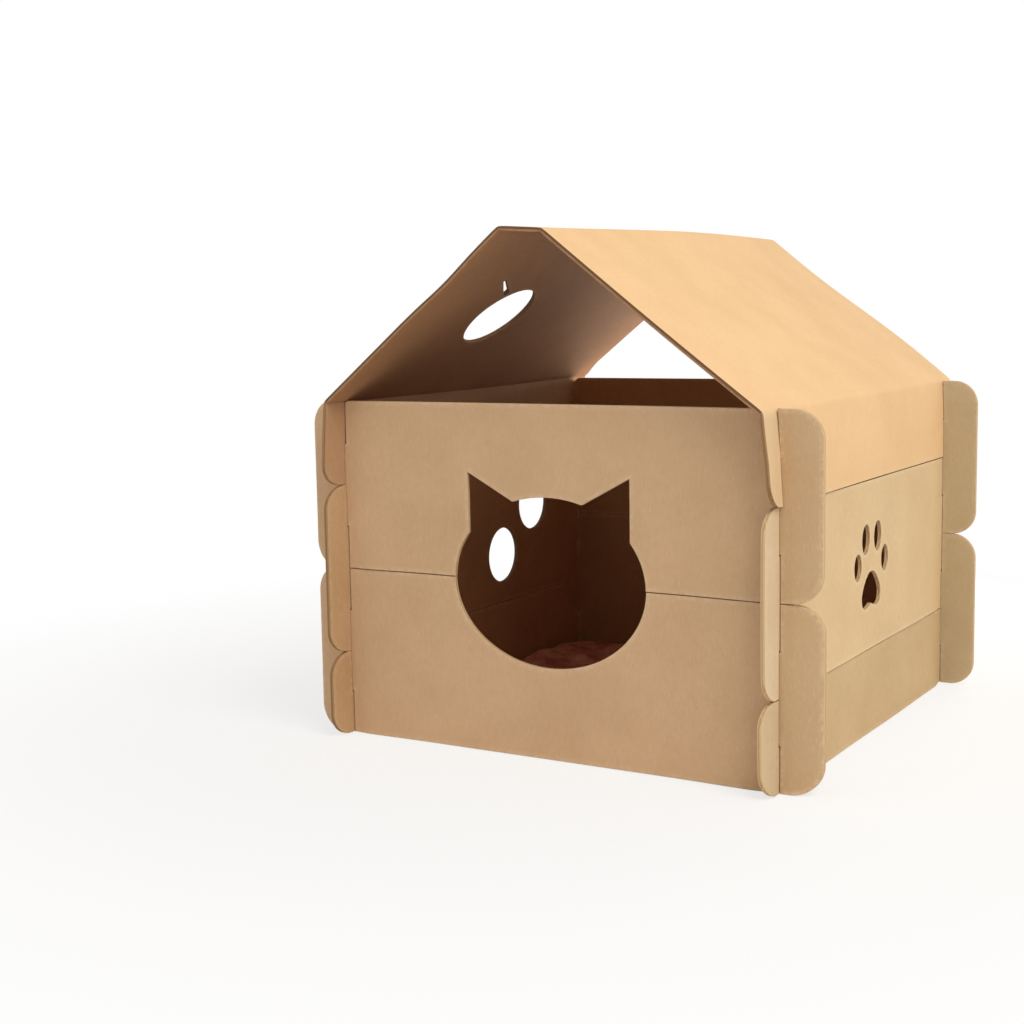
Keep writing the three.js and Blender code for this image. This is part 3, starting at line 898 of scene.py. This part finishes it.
# %% The roof sheet
roof_hole, roof_hole_forward, roof_hole_down = 75 * mm, 95.5 * mm, 113.5 * mm
slit_length, slit_width, slit_angle = 32.5 * mm, 4.8 * mm, math.radians(-54)
slit_before_hole, slit_above_hole = 42.5 * mm, 42 * mm
fold_grey = 9 * mm


def roof_outline():
    """The flat sheet: s runs from the left drop's edge over the ridge to the right one's, y to the
    back. Each drop has a slot near both of its ends, laid on its side."""
    left, right = ([slot[::-1, ::-1] for slot in reversed(both_slots(end_plane, edge, depth))]
                   for edge, depth in ((0, slot_depth), (sheet_width, -slot_depth)))
    return rounded((0, -side_reach), (sheet_width, side_reach), side_corner, right=right, left=left)


def slit(centre):
    """A narrow hole with round ends, the upper one half as wide, turned by its angle and walked
    clockwise."""
    half, radius = slit_length / 2 - slit_width / 2, slit_width / 2
    ends = np.concatenate((arc((half, 0), radius / 2, 90, -90), arc((-half, 0), radius, -90, -270)))
    cos, sin = math.cos(slit_angle), math.sin(slit_angle)
    return joined(ends @ np.array(((cos, sin), (-sin, cos))) + centre)


def roof_zones(flat):
    """The drops count as ears, for their inner faces catch light. The right drop's front end is mixed
    towards the grey tone from the fold down, and the slopes' and ridge's edges and the drops' lower edges
    are painted with shade."""
    s, y = flat[:, 0], flat[:, 1]
    low, high = fold_centres[0], fold_centres[3]
    grey_mix = eased((s - high) / fold_grey + 0.5) * eased((-y - end_plane) / grey_edge + 0.5)
    crushed = (s > low) & (s < high) | (s < hair) | (s > sheet_width - hair)
    return (s < low) | (s > high), grey_mix, crushed


ridge_foot = knots[3] + (fold_middle + thickness / 2) * math.tan(half_turns[1])
hole_place = np.array((ridge_foot - roof_hole_down, -roof_hole_forward))
slit_place = hole_place + (slit_above_hole, -slit_before_hole)
beside_fold = np.array((-8, -5.5, -3.5, -2, -1, 0, 1, 2, 3.5, 5.5, 8)) * mm
fold_points = grid((fold_centres[:, None] + beside_fold).ravel(),
                   np.arange(lattice_step / 2 - side_reach, side_reach, lattice_step))
drop_columns = np.arange(lattice_step, fold_centres[0] - lattice_step, lattice_step)
slot_points = grid(np.concatenate((drop_columns, sheet_width - drop_columns)), beside(end_plane))
roof = board("roof_sheet_board", [roof_outline(), hole(hole_place, roof_hole), slit(slit_place)],
             on_roof, 1, roof_zones,
             (roof_kraft, under_roof_kraft, shade_edge_kraft, roof_ear_kraft, shaded_kraft, shaded_kraft),
             31, np.concatenate((fold_points, slot_points)), pinched)
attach(roof, "roof")
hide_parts("roof_sheet")

# %% [markdown]
# The mat is a thin fleece pad, trodden and pushed about. It rides up the left wall a little and has
# gathered in the back left corner, where the door shows it. It is a closed skin of rings: each is the
# outline drawn in by a share, from the middle of its underside out to the edge and back over the top.

# %% The fleece mat
nap_size, fuzz_size, tuft_size = 22 * mm, 1.6 * mm, 4.5 * mm
fuzz_height, tuft_height = 0.7 * mm, 1.2 * mm
mat_corner, mat_gap, mat_step = 14 * mm, 1.5 * mm, 5 * mm
mat_half = np.array((floor_high.x, floor_high.y)) - mat_gap
mat_thick = floor_high.z - floor_low.z
edge_width, edge_fade, thinnest, off_floor = 2.2 * mm, 0.03, 2 * mm, 0.2 * mm
below_from, below_rings, above_to, above_rings = 0.12, 9, 0.02, 62
lumps = ((0.8, 46, 41), (0.5, 24, 42), (0.35, 8, 43), (0.25, 5, 44))  # height and length in mm, seed
humps = (  # place in x and y, rise, and reach in x and y, in mm
    (-192, 100, 7.5, 22, 40), (-190, 158, 3.5, 18, 26), (-150, 124, 5, 15, 34), (-128, 186, 3.5, 28, 16),
    (-108, 134, 4.5, 15, 30), (-60, 180, 4, 24, 20), (-118, 70, 4, 24, 20), (40, -120, 4, 30, 30),
)


def mat_height(x, y):
    """The top of the mat: its thickness, lumps and tufts of four sizes, and the humps, each
    rise * exp(-(dx / reach_x)^2 - (dy / reach_y)^2)."""
    height = mat_thick + sum(rise * mm * uneven(x, y, length * mm, seed) for rise, length, seed in lumps)
    for hump_x, hump_y, rise, reach_x, reach_y in np.array(humps) * mm:
        height = height + rise * np.exp(-(((x - hump_x) / reach_x) ** 2) - ((y - hump_y) / reach_y) ** 2)
    return height


def fleece_mat():
    """Rings of the rounded outline: share s of it at height h. The underside runs out from the middle,
    the edge is a half round, and the top runs back in."""
    around = divided(rounded(-mat_half, mat_half, mat_corner), mat_step)
    edge_share = edge_width / mat_half[0]
    turn = np.radians((-60, -30, 0, 30, 60))
    below = np.linspace(below_from, 1 - edge_share, below_rings)
    above = np.linspace(1 - edge_share, above_to, above_rings)
    shares = np.concatenate((below, 1 - edge_share + edge_share * np.cos(turn), above))
    rise = np.concatenate((np.zeros(len(below)), 0.5 + 0.5 * np.sin(turn), np.ones(len(above))))
    x, y = np.moveaxis(shares[:, None, None] * around, -1, 0)
    soft = eased((1 - shares) / edge_fade)[:, None]
    top = mat_thick + (mat_height(x, y) - mat_thick) * soft
    rings = np.stack((x, y, rise[:, None] * np.maximum(top, thinnest) + off_floor), axis=-1)
    poles = np.array(((0, 0, off_floor), (0, 0, mat_height(0.0, 0.0))))
    count, rows = len(around), len(shares)
    number = np.arange(rows * count).reshape(rows, count)
    ahead = np.roll(number, -1, axis=1)
    quads = np.stack((number[:-1], ahead[:-1], ahead[1:], number[1:]), axis=-1).reshape(-1, 4)
    under = np.stack((np.full(count, rows * count), ahead[0], number[0]), axis=-1)
    over = np.stack((np.full(count, rows * count + 1), number[-1], ahead[-1]), axis=-1)
    return np.concatenate((rings.reshape(-1, 3), poles)), (quads, under, over)


def fleece(name):
    """Short brushed polyester: mottled where the nap lies one way or another, rough, and with the soft
    bright rim, given by sheen, of fibres that catch light edge on."""
    material, tree = new_tree(bpy.data.materials, name)
    place = add(tree, "TexCoord", output=3)
    nap, fuzz, tuft = (
        add(tree, "TexNoise", {"Vector": place, "Scale": 1 / size, "Detail": detail, "Roughness": rough})
        for size, detail, rough in ((nap_size, 4.0, 0.6), (fuzz_size, 5.0, 0.75), (tuft_size, 3.0, 0.5)))
    share = add(tree, "MapRange", {"Value": nap, "From Min": 0.35, "From Max": 0.65})
    colour = add(tree, "Mix", {0: share, 6: linear("#C26A54"), 7: linear("#F6B8A0")}, 2, data_type="RGBA")
    share = add(tree, "MapRange", {"Value": fuzz, "From Min": 0.4, "From Max": 0.65, "To Max": 0.45})
    colour = add(tree, "Mix", {0: share, 6: colour, 7: linear("#90402E")}, 2, data_type="RGBA")
    bump = add(tree, "Bump", {"Height": tuft, "Distance": tuft_height})
    bump = add(tree, "Bump", {"Height": fuzz, "Distance": fuzz_height, "Normal": bump})
    shader = add(tree, "BsdfPrincipled", {
        "Base Color": colour, "Roughness": 0.95, "Normal": bump,
        "Sheen Weight": 0.4, "Sheen Roughness": 0.5, "Sheen Tint": linear("#D98F78")})
    add(tree, "OutputMaterial", {"Surface": shader})
    return material


mat_points, mat_faces = fleece_mat()
mat = mesh_object("floor_mat_fleece", mat_points, mat_faces, (fleece("brushed_polyester_fleece"),))
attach(mat, "base_boards")
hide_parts("floor_mat")
print("the mat rises to", round(max(mat_points[:, 2]) / mm, 1), "mm")

# %% [markdown]
# The camera sees the air and most of the floor as plain white, but the house is lit only by the
# modest level that is set here, so its colours come out as they are written. Near the house the floor
# keeps a little of its own shading, and with it the house's shadow.

# %% Floor and air
floor_size, floor_level = 8.0, -0.3 * mm
air_level, white = 0.55, (1.0, 1.0, 1.0, 1.0)
shadow_share, shadow_reach, shadow_fade = 0.30, 0.42, 0.95

corners = np.array(((-1, -1), (1, -1), (1, 1), (-1, 1))) * floor_size / 2
floor_points = np.column_stack((corners, np.full(4, floor_level)))
floor_material, tree = new_tree(bpy.data.materials, "pale_studio_floor")
seen = add(tree, "LightPath")
place = add(tree, "TexCoord", output=3)
distance = add(tree, "VectorMath", {0: place}, 1, operation="LENGTH")
fade = add(tree, "MapRange", {
    "Value": distance, "From Min": shadow_reach, "From Max": shadow_fade,
    "To Min": 1 - shadow_share, "To Max": 1.0}, interpolation_type="SMOOTHSTEP")
share = add(tree, "Math", {0: seen, 1: fade}, operation="MULTIPLY")
paint = add(tree, "BsdfDiffuse", {"Color": linear("#F7F6F4")})
glow = add(tree, "Emission", {"Color": white, "Strength": 1.0})
add(tree, "OutputMaterial", {"Surface": add(tree, "MixShader", {0: share, 1: paint, 2: glow})})
floor = mesh_object("floor", floor_points, (np.array(((0, 1, 2, 3),)),), (floor_material,))
floor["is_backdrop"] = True

world, tree = new_tree(bpy.data.worlds, "white_air")
bright = add(tree, "LightPath")
rays = tree.nodes[-1]
for kind in ("Is Glossy Ray", "Is Transmission Ray"):
    bright = add(tree, "Math", {0: bright, 1: rays.outputs[kind]}, operation="MAXIMUM")
level = add(tree, "MapRange", {"Value": bright, "To Min": air_level, "To Max": 1.0})
air = add(tree, "Background", {"Color": white, "Strength": level})
add(tree, "OutputWorld", {"Surface": air})
bpy.context.scene.world = world

# %% [markdown]
# The main soft box hangs above the house, ahead of it and to its right, so the right slope is the
# brightest face and the front lies in open shade. A weak one behind shines in through the back gable
# and warms the underside of the left slope.

# %% The soft light
key_place, key_size, key_power = (1.4, -0.85, 2.05), 1.2, 30.0
back_place, back_size, back_power = (0.10, 0.85, 0.14), 0.5, 6.5
house_middle, under_left_slope = (0, 0, 0.22), (-0.12, 0.15, 0.36)
warm_white = linear("#FFF6EA")[:3]


def soft_box(name, place, towards, size, power):
    """A square area light at place that faces towards: its -Z axis points there."""
    data = bpy.data.lights.new(name, "AREA")
    data.shape, data.size, data.energy = "SQUARE", size, power
    data.color = warm_white
    light = bpy.data.objects.new(name, data)
    away = np.array(place) - np.array(towards)
    away = away / np.linalg.norm(away)
    side = np.cross((0, 0, 1), away)
    side = side / np.linalg.norm(side)
    light.matrix_world = posed(side, np.cross(away, side), away, place)
    light.visible_camera = False
    bpy.context.scene.collection.objects.link(light)


soft_box("key_from_above_right", key_place, house_middle, key_size, key_power)
soft_box("fill_from_behind", back_place, under_left_slope, back_size, back_power)
bpy.context.scene.view_settings.view_transform = "Standard"
print("key light", key_power, "W, air", air_level)

# %% [markdown]
# The box of the finished house is compared with that of the imported model, and how far its looks stand out
# is printed.

# %% Compare the boxes
looks_low, looks_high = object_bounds()
past = (*(cad_low - looks_low), *(looks_high - cad_high))
print("the looks stand out by", [round(x / mm, 1) for x in past], "mm")
